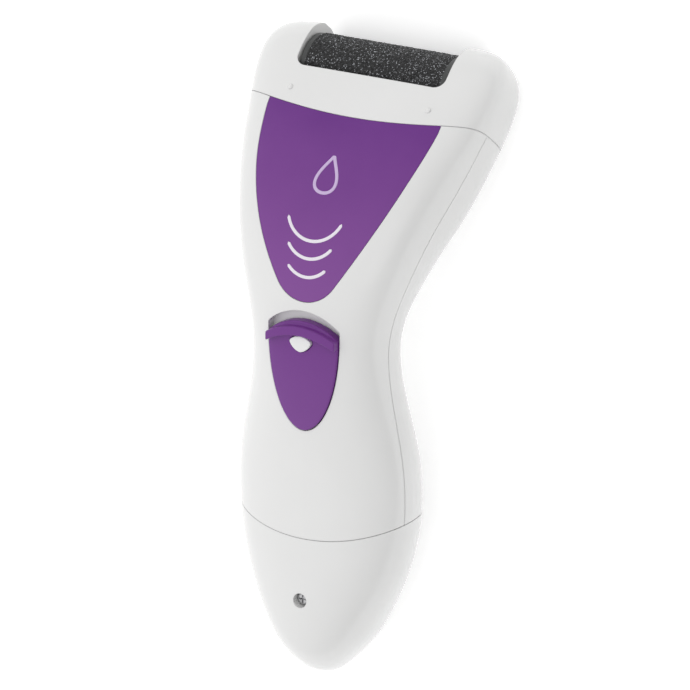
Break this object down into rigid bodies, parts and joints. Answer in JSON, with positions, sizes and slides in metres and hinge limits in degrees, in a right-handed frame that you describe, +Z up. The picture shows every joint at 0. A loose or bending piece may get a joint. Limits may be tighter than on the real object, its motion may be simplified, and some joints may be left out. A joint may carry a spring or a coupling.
{
  "type": "electric callus remover",
  "caption": "Handheld battery foot file with a bent teardrop body, a motor-driven abrasive roller between two cheeks, a slide switch with a lock button and a screwed battery cap.",
  "frame": {"origin": "on the table, under the middle of the device as it lies on its back", "axes": "+Y from the handle to the roller head, +X to the right as the front is looked at with the head up, +Z up out of the front"},
  "size_m": [0.0724, 0.1697, 0.0477],
  "materials": {
    "white_shell": "glossy moulded shell",
    "purple_trim": "glossy tinted panel",
    "purple_switch": "satin",
    "white_button": "glossy",
    "abrasive_grit": "coarse mineral grit",
    "roller_plastic": "satin",
    "grey_plastic": "satin",
    "gear_plastic": "natural acetal",
    "black_plastic": "satin",
    "steel": "plated",
    "spring_steel": "bright",
    "brass": "turned",
    "copper_winding": "enamelled wire",
    "cell_jacket": "printed film jacket",
    "red_insulation": "satin",
    "blue_insulation": "satin",
    "black_insulation": "satin"
  },
  "bodies": {
    "casing": {"battery_left": "cell_jacket", "battery_right": "cell_jacket", "battery_tray": "grey_plastic", "black_wire": "black_insulation", "blue_wire": "blue_insulation", "drive_bushing": "brass", "dust_tray": "grey_plastic", "front_panel": "purple_trim", "front_shell": "white_shell", "gear_frame": "grey_plastic", "idler_pin": "steel", "motor_can": "steel", "motor_end_cap": "black_plastic", "motor_screws": "steel", "motor_terminals": "brass", "negative_contact": "spring_steel", "negative_spring": "spring_steel", "pivot_pin": "steel", "positive_contact": "spring_steel", "rear_shell": "white_shell", "red_wire": "red_insulation", "shell_screws": "steel", "switch_body": "black_plastic", "switch_terminals": "brass"},
    "roller": {"abrasive_sleeve": "abrasive_grit", "roller_core": "roller_plastic", "roller_drive_cap": "roller_plastic", "roller_idle_cap": "roller_plastic", "idle_bushing": "brass", "drive_shaft": "steel", "output_gear": "gear_plastic"},
    "idler": {"idler_gear": "gear_plastic"},
    "rotor": {"motor_shaft": "steel", "motor_armature": "copper_winding", "motor_pinion": "brass"},
    "slider": {"slide_switch": "purple_switch", "switch_knob": "black_plastic", "lock_button_spring": "spring_steel"},
    "lock": {"lock_button": "white_button"},
    "head_cover": {"head_frame": "white_shell"},
    "cap": {"battery_cap": "white_shell", "cap_contact": "spring_steel", "cap_spring": "spring_steel", "cap_screw": "steel", "cap_screw_nut": "steel"}
  },
  "joints": [
    {"name": "roller_spin", "type": "hinge", "parent": "casing", "child": "roller", "pos_m": [0, 0.07272, 0.01131], "axis": [1, 0, 0], "continuous": true},
    {"name": "idler_spin", "type": "hinge", "parent": "casing", "child": "idler", "pos_m": [0, 0.06012, 0.01741], "axis": [1, 0, 0], "continuous": true},
    {"name": "motor_spin", "type": "hinge", "parent": "casing", "child": "rotor", "pos_m": [0, 0.05022, 0.02219], "axis": [1, 0, 0], "continuous": true},
    {"name": "switch_slide", "type": "slide", "parent": "casing", "child": "slider", "axis": [0, 0.9803, 0.1977], "range_m": [0, 0.0023]},
    {"name": "lock_press", "type": "slide", "parent": "slider", "child": "lock", "axis": [0, 0.1977, -0.9803], "range_m": [0, 0.001], "stiffness_N_per_m": 400, "springref_m": -0.001, "deforming": ["lock_button_spring"]},
    {"name": "head_pull", "type": "slide", "parent": "casing", "child": "head_cover", "axis": [0, 0.9003, -0.4352], "range_m": [0, 0.024]},
    {"name": "cap_pull", "type": "slide", "parent": "casing", "child": "cap", "axis": [0, -0.9803, -0.1977], "range_m": [0, 0.03]}
  ],
  "couplings": [
    {"joint": "idler_spin", "follows": "roller_spin", "ratio": -0.86667},
    {"joint": "motor_spin", "follows": "roller_spin", "ratio": 1.8571}
  ]
}
